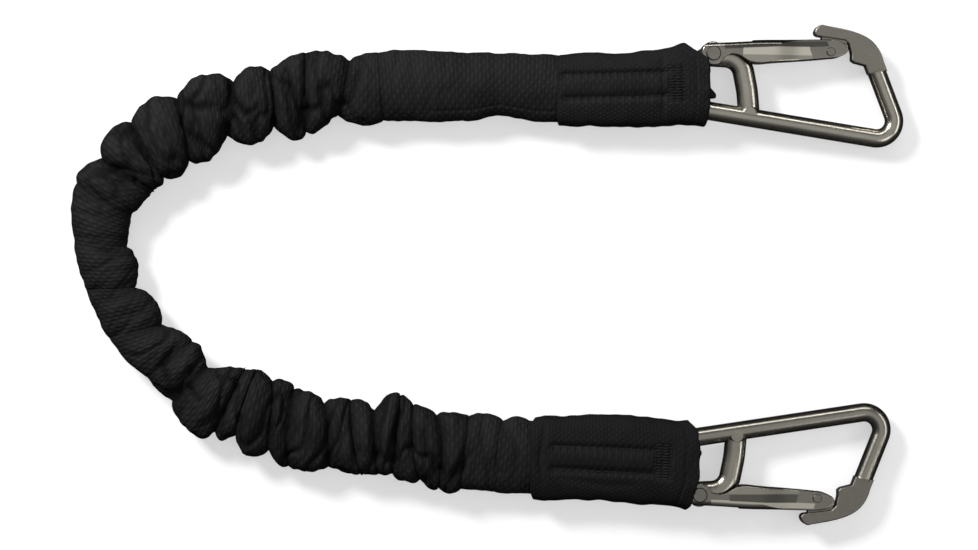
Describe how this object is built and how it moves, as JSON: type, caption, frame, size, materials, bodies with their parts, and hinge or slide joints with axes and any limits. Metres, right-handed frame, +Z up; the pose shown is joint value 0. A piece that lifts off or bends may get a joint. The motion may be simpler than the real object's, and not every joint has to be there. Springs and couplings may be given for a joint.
{
  "type": "shock absorbing lanyard",
  "caption": "Elastic safety tether: gathered tubular webbing over a stretch cord, with a sewn cuff and a sprung-gate eye hook at each end, lying as a U.",
  "frame": {"origin": "under the middle of the whole lanyard's box, on the surface it lies on", "axes": "+Z up from the surface; the lanyard lies as a U that opens to +X, with both hooks at +X; hook A is the one at +Y"},
  "size_m": [0.3575, 0.2152, 0.017],
  "materials": {
    "hook_steel": "satin tumbled stainless",
    "gate_steel": "satin pressed stainless sheet",
    "pin_steel": "turned stainless",
    "spring_steel": "drawn stainless wire",
    "pusher_plastic": "natural nylon",
    "sleeve_webbing": "black plain-woven polyester",
    "cuff_webbing": "black plain-woven polyester",
    "loop_webbing": "black narrow load webbing",
    "thread": "black bonded thread",
    "cord_braid": "black braid",
    "cord_rubber": "natural latex strands"
  },
  "bodies": {
    "lanyard": {"sleeve": "sleeve_webbing", "core_jacket": "cord_braid", "core_rubber": "cord_rubber", "cuff_b": "cuff_webbing", "load_loop_b": "loop_webbing", "stitching_b": "thread"},
    "end_a": {"cuff_a": "cuff_webbing", "load_loop_a": "loop_webbing", "stitching_a": "thread"},
    "hook_a": {"hook_a_body": "hook_steel", "hook_a_gate_rivet": "pin_steel"},
    "gate_a": {"hook_a_gate": "gate_steel", "hook_a_latch_pin": "pin_steel", "hook_a_gate_spring": "spring_steel"},
    "pusher_a": {"hook_a_pusher": "pusher_plastic"},
    "hook_b": {"hook_b_body": "hook_steel", "hook_b_gate_rivet": "pin_steel"},
    "gate_b": {"hook_b_gate": "gate_steel", "hook_b_latch_pin": "pin_steel", "hook_b_gate_spring": "spring_steel"},
    "pusher_b": {"hook_b_pusher": "pusher_plastic"}
  },
  "joints": [
    {"name": "stretch", "type": "slide", "parent": "lanyard", "child": "end_a", "axis": [1, 0, 0], "range_m": [0, 0.08], "stiffness_N_per_m": 180, "deforming": ["sleeve", "core_jacket", "core_rubber"]},
    {"name": "hook_a_swing", "type": "hinge", "parent": "end_a", "child": "hook_a", "pos_m": [0.0884, 0.0839, 0.0084], "axis": [0.0541, 0.9985, 0], "range_deg": [-60, 60], "deforming": ["cuff_a"]},
    {"name": "gate_a_pivot", "type": "hinge", "parent": "hook_a", "child": "gate_a", "pos_m": [0.09545, 0.09584, 0.00813], "axis": [-0.0418, 0.0023, -0.9991], "range_deg": [0, 25], "stiffness_Nm_per_rad": 0.8, "springref_deg": -17.19},
    {"name": "pusher_a_slide", "type": "slide", "parent": "gate_a", "child": "pusher_a", "axis": [0.9986, 0.0332, -0.0417], "range_m": [0, 0.0054], "deforming": ["hook_a_gate_spring"]},
    {"name": "hook_b_swing", "type": "hinge", "parent": "lanyard", "child": "hook_b", "pos_m": [0.0827, -0.0814, 0.0084], "axis": [0.0384, -0.9993, 0], "range_deg": [-60, 60], "deforming": ["cuff_b"]},
    {"name": "gate_b_pivot", "type": "hinge", "parent": "hook_b", "child": "gate_b", "pos_m": [0.08956, -0.09345, 0.00813], "axis": [0.0418, 0.0016, 0.9991], "range_deg": [0, 25], "stiffness_Nm_per_rad": 0.8, "springref_deg": -17.19},
    {"name": "pusher_b_slide", "type": "slide", "parent": "gate_b", "child": "pusher_b", "axis": [0.9979, -0.0489, -0.0417], "range_m": [0, 0.0054], "deforming": ["hook_b_gate_spring"]}
  ],
  "couplings": [
    {"joint": "pusher_a_slide", "follows": "gate_a_pivot", "m_per_rad": 0.01226},
    {"joint": "pusher_b_slide", "follows": "gate_b_pivot", "m_per_rad": 0.01226}
  ]
}
